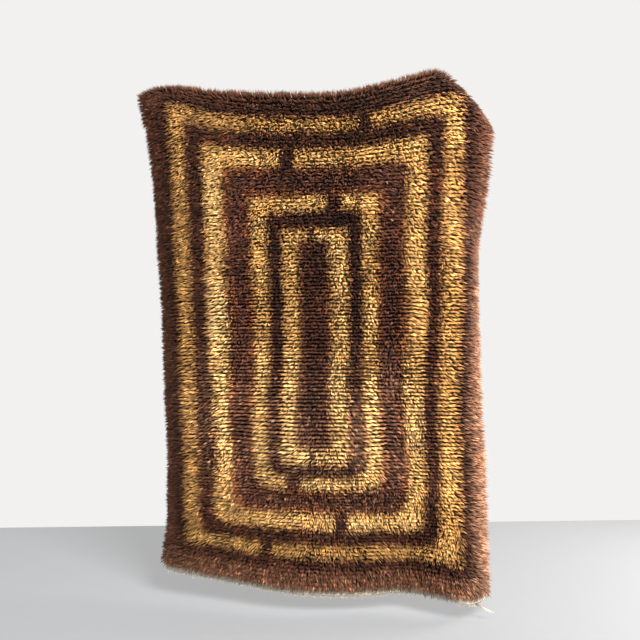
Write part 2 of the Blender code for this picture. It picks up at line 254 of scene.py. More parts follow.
class RyaSizes(bpy.types.PropertyGroup):
    """Sizes of the wool and how it lies."""
    strand_length: FloatProperty(
        name="Strand length", description="Length of a strand of pile from knot to tip",
        default=0.0355, min=0.01, max=0.08, unit="LENGTH")
    strand_width: FloatProperty(
        name="Strand width", description="Width of a strand at its elbow",
        default=0.0040, min=0.001, max=0.01, unit="LENGTH")
    knots: IntProperty(
        name="Knots in a row", description="Knots across the rug in each row",
        default=150, min=10, max=400)
    strands: IntProperty(
        name="Strands in a knot", description="Strands of pile that grow from one knot",
        default=4, min=1, max=6)
    droop: FloatProperty(
        name="Droop", description="How far the pile hangs under its own weight",
        default=0.28, min=0.0, max=2.0, subtype="FACTOR")
    rim_length: FloatProperty(
        name="Rim wool length", description="Length of the strands that stand out past the rim",
        default=0.030, min=0.005, max=0.06, unit="LENGTH")
    warp_end: FloatProperty(
        name="Warp end length", description="Length of the warp ends under the hem",
        default=0.014, min=0.002, max=0.05, unit="LENGTH")


def dye(name, description, red, green, blue):
    """A colour of the panel, from its screen colour."""
    return FloatVectorProperty(
        name=name, description=description, subtype="COLOR",
        default=hue(red, green, blue), min=0.0, max=1.0)


class RyaColours(bpy.types.PropertyGroup):
    """Colours of the yarns, the weave and the floor."""
    cream: dye("Cream", "Palest yarn in the gold bands", 232, 197, 136)
    gold: dye("Gold", "Main yarn of the gold bands", 199, 151, 84)
    ochre: dye("Ochre", "Deeper yarn at the edges of the gold bands", 146, 106, 58)
    # fawn also lightens the border at the right and at the foot, partly as faded yarn and partly as painted
    # light, and paints glints in patches
    fawn: dye("Fawn", "Faded yarn of the border, on the sunny side and below", 198, 148, 114)
    rust: dye("Rust", "Red-brown yarn where gold meets brown", 150, 80, 46)
    chestnut: dye("Chestnut", "Lighter yarn of the border", 126, 80, 52)
    brown: dye("Brown", "Main yarn of the brown bands", 86, 48, 31)
    plum: dye("Plum", "Cool brown yarn of the border", 100, 60, 50)
    dark: dye("Dark", "Near-black brown yarn", 46, 24, 17)
    linen: dye("Linen", "Undyed ground weave and warp", 214, 202, 182)
    floor: dye("Floor", "Floor of the stage", 94, 96, 100)


def read(table, column, place):
    """A table's column at a place along its first column, on a smooth curve through the rows."""
    places = np.array(next(iter(table.values())), float)
    values = np.array(table[column], float)
    steps = np.diff(places)
    rates = np.diff(values) / steps
    inner = (rates[:-1] * steps[1:] + rates[1:] * steps[:-1]) / (steps[1:] + steps[:-1])
    slopes = np.concatenate([rates[:1], inner, rates[-1:]])
    place = np.clip(place, places[0], places[-1])
    row = np.clip(np.searchsorted(places, place) - 1, 0, len(steps) - 1)
    t = (place - places[row]) / steps[row]
    start = (2 * t**3 - 3 * t**2 + 1) * values[row] + (t**3 - 2 * t**2 + t) * steps[row] * slopes[row]
    end = (3 * t**2 - 2 * t**3) * values[row + 1] + (t**3 - t**2) * steps[row] * slopes[row + 1]
    return start + end


def bump(t):
    """A smooth hump: 1 at 0, 0 at 1 and past it."""
    t = np.clip(np.abs(t), 0, 1)
    return (1 - t * t) ** 2


def roll(inside, turn, reach):
    """How far out and how far back a rolled side carries a point that lies `inside` its edge."""
    radius = reach / np.radians(turn)
    arc = np.maximum(reach - inside, 0) / radius
    return radius * np.sin(arc), radius * (1 - np.cos(arc))


def hang(across, down):
    """Where a point of the flat rug hangs, before the corner is folded."""
    left_reach = read(SECTIONS, "left_reach", down)
    right_reach = read(SECTIONS, "right_reach", down)
    left_out, left_back = roll(across, read(SECTIONS, "left_turn", down), left_reach)
    right_out, right_back = roll(WIDTH - across, read(SECTIONS, "right_turn", down), right_reach)
    flat = np.clip(across, left_reach, WIDTH - right_reach) - WIDTH / 2
    curl = read(TOP_EDGE, "curl", across) * bump(down / CURL_DEPTH)
    past_ends = np.maximum(down - LENGTH, 0) + np.minimum(down, 0)
    x = read(SECTIONS, "middle", down) + flat * read(SECTIONS, "gather", down) - left_out + right_out
    y = read(SECTIONS, "back", down) + left_back + right_back + 2 * curl
    z = -read(SECTIONS, "drop", down) - past_ends - curl
    z = z + read(TOP_EDGE, "rise", across) * bump(down / TOP_FADE)
    z = z + read(LOWER_EDGE, "rise", across) * bump((LENGTH - down) / LOWER_FADE)
    y = y - read(LOWER_EDGE, "forward", across) * bump((LENGTH - down) / LOWER_FADE)
    for place, half_width, low, above, below, forward in zip(*FOLDS.values()):
        reach = np.where(down < low, above, below)
        y = y - forward * bump((across - place) / half_width) * bump((down - low) / reach)
    return np.stack([x, y, z], -1)


def unit(vectors):
    return vectors / np.linalg.norm(vectors, axis=-1, keepdims=True)


def directions(shape, across, down, step=0.002):
    """Unit vectors of the cloth at a point: to the right, down, and out on the pile side."""
    right = unit(shape(across + step, down) - shape(across - step, down))
    lower = shape(across, down + step) - shape(across, down - step)
    out = unit(np.cross(lower, right))
    return right, np.cross(right, out), out


def drape(across, down):
    """Where a point of the flat rug hangs, with the upper right corner folded back."""
    across, down = np.broadcast_arrays(np.asarray(across, float), np.asarray(down, float))
    past = (across - (WIDTH - CORNER_LEG) - down) / math.sqrt(2)
    over = np.maximum(past, 0)[..., None]
    foot_across = across - over[..., 0] / math.sqrt(2)
    foot_down = down + over[..., 0] / math.sqrt(2)
    right, lower, out = directions(hang, foot_across, foot_down)
    corner_way = unit(right - lower)
    turn = np.minimum(over / CORNER_BEND, CORNER_TURN)
    rest = np.maximum(over - CORNER_BEND * CORNER_TURN, 0)
    along = CORNER_BEND * np.sin(turn) + rest * math.cos(CORNER_TURN)
    behind = CORNER_BEND * (1 - np.cos(turn)) + rest * math.sin(CORNER_TURN)
    return hang(foot_across, foot_down) + corner_way * along - out * behind


def drift(across, down, size, seed):
    """A smooth field from about -1 to 1 that wanders over the rug, its waves about `size` long."""
    draws = np.random.default_rng(seed)
    field = 0
    for _ in range(7):
        way = draws.uniform(0, 2 * math.pi)
        wave = size * draws.uniform(0.7, 1.6)
        phase = draws.uniform(0, 2 * math.pi)
        field = field + np.cos((across * math.cos(way) + down * math.sin(way)) * 2 * math.pi / wave + phase)
    return field / 3


def patch(name, across, down):
    """How far a place lies in a patch: 1 at its middle, 0 outside it."""
    i = PATCHES["name"].index(name)
    beside = bump((across - PATCHES["across"][i]) / PATCHES["half_width"][i])
    return bump((down - PATCHES["down"][i]) / PATCHES["half_height"][i]) * beside


def wander(name, across, down):
    """One of the slow changes over the rug."""
    return drift(across, down, *WAVES[name])


def down_of(row):
    """How far down the rug a row of knots lies."""
    return (row + 0.5) * PITCH


def band_of(across, down):
    """Which band a place lies in, how far it is from that band's nearer edge, and which edge that is."""
    from_side = {"left": across, "right": WIDTH - across, "top": down, "bottom": LENGTH - HEM - down}
    depths = []
    for i in range(len(BANDS["left"])):
        inside = {side: away - sum(BANDS[side][:i + 1]) for side, away in from_side.items()}
        beside = np.minimum(inside["left"], inside["right"])
        depth = np.minimum.reduce(list(inside.values()))
        for end, radius in CORNER_RADIUS.items():
            radius = radius * math.sin(math.pi * (i + 0.5) / 8)
            near = (beside < radius) & (inside[end] < radius)
            corner = radius - np.hypot(radius - beside, radius - inside[end])
            depth = np.where(near, np.minimum(depth, corner), depth)
        depths.append(depth)
    depths = np.array(depths)
    return np.sum(depths > 0, axis=0), np.min(np.abs(depths), axis=0), np.argmin(np.abs(depths), axis=0)


def in_bar(across, down, band):
    """Whether a place lies on one of the dark bars that cross the gold bands above and below."""
    inside = np.zeros(np.shape(across), bool)
    from_middle = across - WIDTH / 2
    upper = down < LENGTH / 2
    for place, offset, half_width in zip(*BARS.values()):
        centre = np.where(upper, offset, -offset)
        below_top = down - sum(BANDS["top"][:place])
        above_foot = LENGTH - HEM - down - sum(BANDS["bottom"][:place])
        level = np.where(upper, below_top, above_foot)
        thick = np.where(upper, BANDS["top"][place], BANDS["bottom"][place])
        crossing = (level > 0) & (level < thick + 0.004)
        inside |= (band == place) & crossing & (np.abs(from_middle - centre) < half_width)
    return inside


def yarn_parts(across, down, band, nearest, edge, mix):
    """Parts of each yarn at each place: its band's mix, changed by wear, fading, slow drifts, and painted
    sheen, glints and light.
    """
    golden = (mix == MIXES.index("straw")) | (mix == MIXES.index("gold"))
    heart = 1 - bump(nearest / EDGE_DEPTH)
    heart = np.where(band == 0, np.clip((nearest - BORDER_HEART) / BORDER_HEART_DEPTH, 0, 1), heart)
    edge_parts = np.array([[EDGE_MIX[name].get(yarn, 0) for yarn in YARNS] for name in MIXES], float)
    heart_parts = np.array([[HEART_MIX[name].get(yarn, 0) for yarn in YARNS] for name in MIXES], float)
    parts = edge_parts[mix] * (1 - heart[:, None]) + heart_parts[mix] * heart[:, None]
    # more cream in slow drifts, and as painted sheen on the belly and a painted highlight along the left fold
    pale = np.clip(wander("pale", across, down), 0, 1) + patch("pale", across, down)
    pale = pale + 0.7 * patch("fold_highlight_left", across, down)
    warm = (1 - heart) * ((edge == 3) | (edge == 4)) * (0.45 + 0.8 * wander("warm", across, down))
    warm = np.clip(warm, 0, 1)
    # the border is lighter towards the right rim and at the foot: partly faded yarn, partly painted light
    faded_and_lit_right = bump((WIDTH - across) / RIGHT_FADE_AND_LIGHT["reach"])
    faded_and_lit_right = faded_and_lit_right * np.clip((down - RIGHT_FADE_AND_LIGHT["from"]) / RIGHT_FADE_AND_LIGHT["over"], RIGHT_FADE_AND_LIGHT["least"], 1)
    foot = bump((LENGTH - HEM - down) / FOOT_REACH)
    faded_and_lit = (band == 0) * (ADDED["right_faded_and_lit_fawn"] * faded_and_lit_right + ADDED["foot_faded_and_lit_fawn"] * foot)
    # painted glints: fawn on the belly, and plum on its darker bands, where the pile faces up to the light
    belly = patch("belly", across, down) * (band > 2)
    worn = np.clip(wander("worn", across, down) - 0.35, 0, 1)
    rusty = np.clip(wander("rusty", across, down) - 0.3, 0, 1) * ~golden * (band > 1)
    glow = golden * (band > 4) * patch("glow", across, down)
    part = {yarn: parts[:, i] for i, yarn in enumerate(YARNS)}
    part["cream"] *= 0.4 + 1.6 * pale
    part["brown"] += ADDED["worn_brown"] * worn * golden
    part["rust"] += ADDED["rusty_rust"] * rusty
    part["rust"] += ADDED["seam_rust"] * warm + ADDED["glow_rust"] * glow
    part["chestnut"] += ADDED["seam_chestnut"] * warm
    part["fawn"] += faded_and_lit * np.clip(nearest / BORDER_HEART_DEPTH, 0, 1)
    part["fawn"] += ADDED["belly_glint_fawn"] * belly + ADDED["ruffled_glint_fawn"] * ruffled_glints(across, down)
    part["plum"] += ADDED["belly_glint_plum"] * belly * ~golden
    return parts


def ruffled_glints(across, down):
    """The ruffled patches low at both sides, where pale glints are painted, the right one a little weaker."""
    return patch("glints_left", across, down) + 0.8 * patch("glints_right", across, down)


def wool_light(across, down, band, mix, tuft, draws):
    """How light each strand is: unlike from strand to strand and tuft to tuft, and drifting over the rug,
    with painted light and shade in a few places.
    """
    golden = (mix == MIXES.index("straw")) | (mix == MIXES.index("gold"))
    uneven = np.where(golden, UNEVEN["gold"], np.where(band == 0, UNEVEN["border"], UNEVEN["other"]))
    # the ruffled patches get more speckle, for their painted glints
    uneven = uneven + UNEVEN["ruffled_glints"] * ruffled_glints(across, down)
    by_strand = draws.normal(0, 1, len(across))
    by_tuft = draws.normal(0, 1, tuft.max() + 1)[tuft]
    light = np.clip(np.exp(uneven * (0.7 * by_strand + 1.3 * by_tuft)), 0.4, 2.4)
    light = light * (1 + 0.14 * wander("light", across, down))
    outer = mix == MIXES.index("straw")
    # painted light and painted shade: the outer gold band is lighter at the right and darker at the foot, and
    # the top border is darkest
    light = light * (1 + outer * (0.40 * bump((WIDTH - across) / 0.3) - 0.30 * bump((LENGTH - down) / 0.3)))
    return light * (1 - 0.45 * bump(down / 0.10))


def wool_colours(across, down, colours, draws, tuft=None):
    """A yarn's colour for each strand, drawn from its band's mix. Strands of a tuft are mostly alike."""
    count = len(across)
    tuft = np.arange(count) if tuft is None else tuft
    across = across + draws.normal(0, STRAY[0], count)
    down = down + draws.normal(0, STRAY[1], count)
    band, nearest, edge = band_of(across, down)
    mix = np.array([MIXES.index(name) for name in BANDS["mix"]])[band]
    mix = np.where(in_bar(across, down, band), MIXES.index("brown"), mix)
    parts = yarn_parts(across, down, band, nearest, edge, mix)
    reach = np.cumsum(parts, axis=1) / np.sum(parts, axis=1, keepdims=True)
    chance = 0.45 * wander("yarn", across, down) + 0.70 * draws.normal(0, 1, tuft.max() + 1)[tuft]
    chance = 1 / (1 + np.exp(-1.7 * (chance + draws.normal(0, 0.45, count))))
    pick = np.minimum(np.sum(chance[:, None] > reach, axis=1), len(YARNS) - 1)
    light = wool_light(across, down, band, mix, tuft, draws)
    palette = np.array([getattr(colours, yarn) for yarn in YARNS])
    blend = parts @ palette / np.sum(parts, axis=1, keepdims=True)
    return (0.65 * blend + 0.35 * palette[pick]) * light[:, None]


def joined_mesh(name, points, faces):
    """A piece from arrays of points and three- or four-cornered faces."""
    mesh = bpy.data.meshes.new(name)
    corners = faces.shape[1]
    mesh.vertices.add(len(points))
    mesh.vertices.foreach_set("co", np.ascontiguousarray(points, np.float32).ravel())
    mesh.loops.add(faces.size)
    mesh.polygons.add(len(faces))
    mesh.polygons.foreach_set("loop_start", np.arange(0, faces.size, corners, dtype=np.int32))
    mesh.polygons.foreach_set("vertices", np.ascontiguousarray(faces, np.int32).ravel())
    mesh.update(calc_edges=True)
    mesh.shade_smooth()
    piece = bpy.data.objects.new(name, mesh)
    bpy.context.scene.collection.objects.link(piece)
    return piece


def keep_colours(piece, colours):
    """Keeps a colour for each point, which the wool's material reads."""
    layer = piece.data.color_attributes.new("wool", "FLOAT_COLOR", "POINT")
    values = np.concatenate([colours, np.ones((len(colours), 1))], axis=1)
    layer.data.foreach_set("color", np.ascontiguousarray(values, np.float32).ravel())


def keep_bake_map(piece, places):
    """Keeps a map to bake on, named OFBake, a place from 0 to 1 for each face corner."""
    layer = piece.data.uv_layers.new(name="OFBake")
    layer.uv.foreach_set("vector", np.ascontiguousarray(places, np.float32).ravel())


def strand_map(count):
    """Bake places for strands: each strand unrolled in a small cell of its own."""
    round_it = np.array([0, 1 / 3, 2 / 3, 0, 1 / 3, 2 / 3, 0.5])
    along = np.array([0, 0, 0, 0.5, 0.5, 0.5, 1.0])
    cells = np.zeros((len(STRAND_FACES), 3, 2))
    for i, face in enumerate(STRAND_FACES):
        for k, corner in enumerate(face):
            wraps = corner in (0, 3) and 2 in face or corner in (0, 3) and 5 in face
            cells[i, k] = (1.0 if wraps else round_it[corner], along[corner])
        if 6 in face:
            cells[i, 2, 0] = (cells[i, 0, 0] + cells[i, 1, 0]) / 2
    side = math.ceil(math.sqrt(count))
    index = np.arange(count)
    corner = np.stack([index % side, index // side], -1)
    return (corner[:, None, None, :] + 0.06 + cells[None] * 0.88) / side


def strand_piece(name, roots, elbows, tips, rights, radius, colours, draws):
    """One piece of many tapering three-sided strands, with painted shade at the root and a painted highlight
    at the tip.
    """
    count = len(roots)
    along = unit(tips - roots)
    side = unit(np.cross(along, rights))
    over = np.cross(along, side)
    spin = draws.uniform(0, 2 * math.pi, count)
    points = np.empty((count, 7, 3))
    for k in range(3):
        angle = (spin + k * 2 * math.pi / 3)[:, None]
        ring = (np.cos(angle) * side + np.sin(angle) * over) * radius[:, None]
        points[:, k] = roots + ring * ROOT_SHARE
        points[:, k + 3] = elbows + ring
    points[:, 6] = tips
    faces = np.arange(count)[:, None, None] * 7 + np.array(STRAND_FACES)[None]
    piece = joined_mesh(name, points.reshape(-1, 3), faces.reshape(-1, 3))
    # painted shade darkens each strand towards its root, and a painted highlight lightens its tip
    shades = colours[:, None, :] * np.array(STRAND_PAINTED_SHADE)[None, :, None]
    keep_colours(piece, shades.reshape(-1, 3))
    keep_bake_map(piece, strand_map(count).reshape(-1, 2))
    return piece


def cloth_slab(name, across, down, low, high):
    """A closed sheet over the rug between two heights off the weave's middle, with its flat places."""
    shape = (len(down), len(across))
    wide, deep = np.meshgrid(across, down)
    middle = drape(wide, deep)
    out = directions(drape, wide, deep)[2]
    points = np.concatenate([(middle + out * high).reshape(-1, 3), (middle + out * low).reshape(-1, 3)])
    index = np.arange(shape[0] * shape[1]).reshape(shape)
    back = index + index.size
    quads = [np.stack([index[:-1, :-1], index[1:, :-1], index[1:, 1:], index[:-1, 1:]], -1).reshape(-1, 4)]
    quads.append(np.stack([back[:-1, :-1], back[:-1, 1:], back[1:, 1:], back[1:, :-1]], -1).reshape(-1, 4))
    rims = [
        (index[0, 1:], index[0, :-1], back[0, :-1], back[0, 1:]),
        (index[-1, :-1], index[-1, 1:], back[-1, 1:], back[-1, :-1]),
        (index[:-1, 0], index[1:, 0], back[1:, 0], back[:-1, 0]),
        (index[1:, -1], index[:-1, -1], back[:-1, -1], back[1:, -1]),
    ]
    # the side rims run the other way round than the faces they join
    quads += [np.stack(rim[::-1] if k == 2 or k == 3 else rim, -1) for k, rim in enumerate(rims)]
    faces = np.concatenate(quads)
    piece = joined_mesh(name, points, faces)
    flat = np.stack([wide, deep, np.zeros(shape)], -1).reshape(-1, 3)
    layer = piece.data.attributes.new("flat", "FLOAT_VECTOR", "POINT")
    layer.data.foreach_set("vector", np.tile(flat, (2, 1)).astype(np.float32).ravel())
    halves = np.concatenate([flat[:, :2] / (WIDTH, LENGTH) * (0.49, 0.98)] * 2)
    halves[index.size:, 0] += 0.51
    keep_bake_map(piece, halves[faces.ravel()])
    return piece


class Wire:
    """A node's output that can be used in sums."""

    def __init__(self, recipe, socket):
        self.recipe = recipe
        self.socket = socket

    def figure(self, operation, first, second):
        return self.recipe.node("ShaderNodeMath", {"operation": operation}, {0: first, 1: second})

    def __add__(self, other):
        return self.figure("ADD", self, other)

    def __radd__(self, other):
        return self.figure("ADD", other, self)

    def __sub__(self, other):
        return self.figure("SUBTRACT", self, other)

    def __rsub__(self, other):
        return self.figure("SUBTRACT", other, self)

    def __mul__(self, other):
        return self.figure("MULTIPLY", self, other)

    def __rmul__(self, other):
        return self.figure("MULTIPLY", other, self)

    def __pow__(self, other):
        return self.figure("POWER", self, other)


class Recipe:
    """A material in the making."""

    def __init__(self, name):
        self.made = bpy.data.materials.new(name)
        self.made.use_nodes = True
        self.tree = self.made.node_tree
        self.shader = self.tree.nodes["Principled BSDF"]

    def node(self, kind, settings=None, inputs=None, output=0):
        """Adds a node: its settings first, then the values or links of its sockets. Gives one output."""
        made = self.tree.nodes.new(kind)
        for name, value in (settings or {}).items():
            setattr(made, name, value)
        for name, value in (inputs or {}).items():
            if isinstance(value, Wire):
                self.tree.links.new(value.socket, made.inputs[name])
            else:
                made.inputs[name].default_value = value
        return Wire(self, made.outputs[output])

    def feed(self, **inputs):
        """Sets or links the shader's sockets, underscores for spaces."""
        for name, value in inputs.items():
            socket = self.shader.inputs[name.replace("_", " ")]
            if isinstance(value, Wire):
                self.tree.links.new(value.socket, socket)
            else:
                socket.default_value = value

    def noise(self, place, scale, detail=2.0, roughness=0.5):
        return self.node("ShaderNodeTexNoise", {}, {
            "Vector": place, "Scale": scale, "Detail": detail, "Roughness": roughness})

    def sine(self, value):
        return self.node("ShaderNodeMath", {"operation": "SINE"}, {0: value})

    def dimmed(self, colour, share):
        """A colour made lighter or darker by a share."""
        return self.node("ShaderNodeVectorMath", {"operation": "SCALE"}, {"Vector": colour, "Scale": share})

    def blended(self, share, first, second):
        """A colour between two others."""
        return self.node("ShaderNodeMix", {"data_type": "RGBA"}, {0: share, 6: first, 7: second}, output=2)

    def relief(self, height, distance, strength=1.0):
        return self.node("ShaderNodeBump", {}, {
            "Height": height, "Distance": distance, "Strength": strength})


def wool_material(name):
    """Loose dyed wool: each strand's own colour, mottled, with fine fibres and a soft sheen."""
    recipe = Recipe(name)
    place = recipe.node("ShaderNodeTexCoord", output="Object")
    yarn = recipe.node("ShaderNodeAttribute", {"attribute_name": "wool"}, output="Color")
    fibres = recipe.noise(place, 900.0, 3.0, 0.6)
    clumps = recipe.noise(place, 70.0, 2.0, 0.5)
    share = 0.66 + 0.40 * fibres + 0.28 * clumps
    recipe.feed(
        Base_Color=recipe.dimmed(yarn, share), Roughness=0.58 + 0.30 * fibres,
        Normal=recipe.relief(fibres, 0.0012, 0.5),
        Specular_IOR_Level=0.16, Sheen_Weight=0.06, Sheen_Roughness=0.42, Sheen_Tint=(1.0, 0.86, 0.66, 1.0))
    return recipe.made


def bed_material():
    """The matted roots of the pile, dark with painted shade."""
    recipe = Recipe("shaded_matted_roots")
    place = recipe.node("ShaderNodeTexCoord", output="Object")
    yarn = recipe.node("ShaderNodeAttribute", {"attribute_name": "wool"}, output="Color")
    matting = recipe.noise(place, 320.0, 4.0, 0.65)
    recipe.feed(
        Base_Color=recipe.dimmed(yarn, 0.5 + matting), Roughness=0.85 + 0.1 * matting,
        Normal=recipe.relief(matting, 0.003, 0.8), Specular_IOR_Level=0.15)
    return recipe.made


def weave_material(colours, knot_width):
    """Undyed ribbed weave: warps and wefts, and behind each row the backs of its knots in their own yarn."""
    recipe = Recipe("ground_weave")
    flat = recipe.node("ShaderNodeAttribute", {"attribute_name": "flat"}, output="Vector")
    across = recipe.node("ShaderNodeSeparateXYZ", {}, {"Vector": flat}, output="X")
    down = recipe.node("ShaderNodeSeparateXYZ", {}, {"Vector": flat}, output="Y")
    wander = recipe.noise(flat, 40.0, 3.0, 0.6)
    warps = recipe.sine(across * (2 * math.pi / WARP_PITCH) + 2.0 * wander)
    wefts = recipe.sine(down * (2 * math.pi / WEFT_PITCH) + 3.0 * wander)
    threads = 0.5 + 0.5 * warps * wefts
    rows = (0.5 + 0.5 * recipe.sine(down * (2 * math.pi / PITCH) - math.pi / 2)) ** 8.0
    rows = rows * recipe.node("ShaderNodeMath", {"operation": "LESS_THAN"}, {0: down, 1: LENGTH - HEM})
    stagger = recipe.sine(down * (math.pi / PITCH)) * (math.pi / 2)
    loops = rows * (0.5 + 0.5 * recipe.sine(across * (2 * math.pi / knot_width) + stagger + 2.0 * wander))
    yarn = recipe.node("ShaderNodeAttribute", {"attribute_name": "wool"}, output="Color")
    slubs = recipe.noise(flat, 420.0, 3.0, 0.6)
    linen = (*colours.linen, 1.0)
    # the linen turns darker and browner in slow patches and along the rows of knots
    browned_linen = (*(0.62 * np.array(colours.linen) * (1.0, 0.86, 0.68)), 1.0)
    colour = recipe.blended(0.25 * wander + 0.5 * rows * threads, linen, browned_linen)
    colour = recipe.blended(2.4 * loops, colour, recipe.dimmed(yarn, 1.2))
    recipe.feed(
        Base_Color=recipe.dimmed(colour, 0.60 + 0.30 * threads + 0.25 * slubs),
        Roughness=0.80 + 0.15 * slubs,
        Normal=recipe.relief(threads + 0.6 * slubs + 0.6 * rows + 1.4 * loops, 0.0009, 0.8),
        Specular_IOR_Level=0.2, Sheen_Weight=0.15, Sheen_Roughness=0.5)
    return recipe.made


def floor_material(colours):
    """A plain pale floor with the least mottle. A faint glow stands in for daylight all around."""
    recipe = Recipe("pale_floor")
    place = recipe.node("ShaderNodeTexCoord", output="Object")
    mottle = recipe.noise(place, 30.0, 4.0, 0.6)
    recipe.feed(
        Base_Color=recipe.dimmed((*colours.floor,), 0.94 + 0.12 * mottle), Roughness=0.7 + 0.1 * mottle,
        Normal=recipe.relief(mottle, 0.002, 0.2), Emission_Color=(1.0, 1.0, 1.0, 1.0), Emission_Strength=0.26)
    return recipe.made


def dress(piece, material, slot, *nodes):
    """Gives a piece its material and the solids that it stands for. Its slot is not used."""
    piece.data.materials.append(material)
    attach(piece, "root")
    if nodes:
        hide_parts(*nodes)


def wool_of(name):
    """The wool's material, made once for all pieces that share it."""
    return bpy.data.materials.get(name) or wool_material(name)


class RYA_OT_pile(bpy.types.Operator):
    """Knots the rows of wool pile, in a few pieces, over their matted roots, a dark bed of painted shade"""
    bl_idname = "rya.pile"
    bl_label = "Pile"

    def execute(self, context):
        sizes, colours = context.scene.rya_sizes, context.scene.rya_colours
        self.shaded_matted_roots(colours)
        for i, rows in enumerate(np.array_split(np.arange(KNOT_ROWS), PILE_PIECES)):
            draws = np.random.default_rng(100 + i)
            dress(self.rows_of_knots(f"pile_rows_{i + 1}", rows, sizes, colours, draws),
                  wool_of("wool"), "pile", "pile")
        return {"FINISHED"}

    def shaded_matted_roots(self, colours):
        """A thin bed under the strands, darkened as painted shade, so that no weave shows between them."""
        across = np.linspace(0.004, WIDTH - 0.004, BED_CORNERS[0])
        down = np.linspace(0.004, LENGTH - HEM - 0.002, BED_CORNERS[1])
        piece = cloth_slab("pile_shade_bed", across, down, WEAVE_THICK / 2 + 0.0006, BED_TOP)
        draws = np.random.default_rng(99)
        wide, deep = (grid.ravel() for grid in np.meshgrid(across, down))
        # the bed takes the wool's colours, darkened as painted shade between the rows
        shades = wool_colours(wide, deep, colours, draws) * BED_PAINTED_SHADE
        keep_colours(piece, np.tile(shades, (2, 1)))
        dress(piece, bed_material(), "pile", "pile")

    def rows_of_knots(self, name, rows, sizes, colours, draws):
        """Strands in tufts, a tuft from each knot, leaning as the pile lies there."""
        row, knot, strand = (g.ravel() for g in np.meshgrid(
            rows, np.arange(sizes.knots), np.arange(sizes.strands), indexing="ij"))
        count = len(row)
        tuft = (row - rows[0]) * sizes.knots + knot
        tufts = len(rows) * sizes.knots

        def by_tuft(spread):
            return draws.normal(0, spread, tufts)[tuft]

        knot_width = WIDTH / sizes.knots
        centre = (knot + 0.5 + 0.5 * (row % 2 - 0.5)) * knot_width
        centre = np.clip(centre + by_tuft(0.0012), 0.004, WIDTH - 0.004)
        across = np.clip(centre + draws.uniform(-0.5, 0.5, count) * knot_width, 0.003, WIDTH - 0.003)
        place = down_of(row)
        fan_left = np.clip(1 - across / FAN["side"], 0, 1)
        fan_right = np.clip(1 - (WIDTH - across) / FAN["side"], 0, 1)
        fan_top = np.clip(1 - place / FAN["top"], 0, 1)
        fan_bottom = np.clip(1 - (LENGTH - HEM - place) / FAN["bottom"], 0, 1)
        neat = bump((place - 1.40) / 1.10) * np.clip((across - 0.12) / 0.25, 0.2, 1)
        lying = patch("lying", across, place)
        combed = patch("combed", across, place)
        loose = LOOSE["all"] + LOOSE["neat"] * neat + LOOSE["side"] * np.maximum(fan_left, fan_right)
        loose = loose + LOOSE["lying"] * lying + LOOSE["combed"] * combed
        down = np.clip(place + draws.normal(0, 1, count) * loose, 0.003, LENGTH - HEM - 0.002)
        right, lower, out = directions(drape, across, down)
        fall = unit(lower + np.array([0.0, 0.0, -1.0]))
        stand = unit(out * (1.0, 1.0, 0.25))
        side = SIDEWAYS["slow"] * wander("side", across, down)
        side = side + SIDEWAYS["quick"] * wander("quick_side", across, down)
        side = side + by_tuft(SIDEWAYS["tuft"]) * (1 - 0.4 * neat) * (1 - 0.5 * fan_left)
        side = side + draws.normal(0, SIDEWAYS["strand"], count)
        side = side + SIDEWAYS["outward"] * (2 * across / WIDTH - 1)
        side = side + SIDEWAYS["fan"] * (fan_right - fan_left) + SIDEWAYS["combed"] * combed
        wave = DOWNWARD["quick"] * wander("quick_droop", across, down) + by_tuft(DOWNWARD["tuft"])
        wave = wave * (1 - 0.5 * neat) + draws.normal(0, DOWNWARD["strand"], count)
        wave = wave + DOWNWARD["lying"] * np.maximum(lying, combed) * np.clip((place - 0.03) / 0.08, 0, 1)
        turned_under = np.clip(-1.6 * out[:, 2], 0, 1) * (1 - fan_bottom)
        droop = sizes.droop * (1 + DOWNWARD["slow"] * wander("droop", across, down))
        droop = droop * (1 - turned_under) + wave
        droop = droop + DOWNWARD["top"] * fan_top + DOWNWARD["bottom"] * fan_bottom
        length = 1 + by_tuft(UNEQUAL["tuft"]) + draws.normal(0, UNEQUAL["strand"], count)
        length = sizes.strand_length * length * (1 + UNEQUAL["left"] * fan_left)
        half = (length / 2)[:, None]
        roots = drape(across, down) + out * 0.002
        first = unit(stand + fall * (0.25 * droop)[:, None] + right * (0.3 * side)[:, None])
        second = unit(stand * 0.9 + fall * droop[:, None] + right * side[:, None])
        elbows = roots + first * half
        tips = elbows + second * half
        shades = wool_colours(across, down, colours, draws, tuft)
        radius = draws.uniform(0.85, 1.15, count) * sizes.strand_width / math.sqrt(3)
        return strand_piece(name, roots, elbows, tips, right, radius, shades, draws)


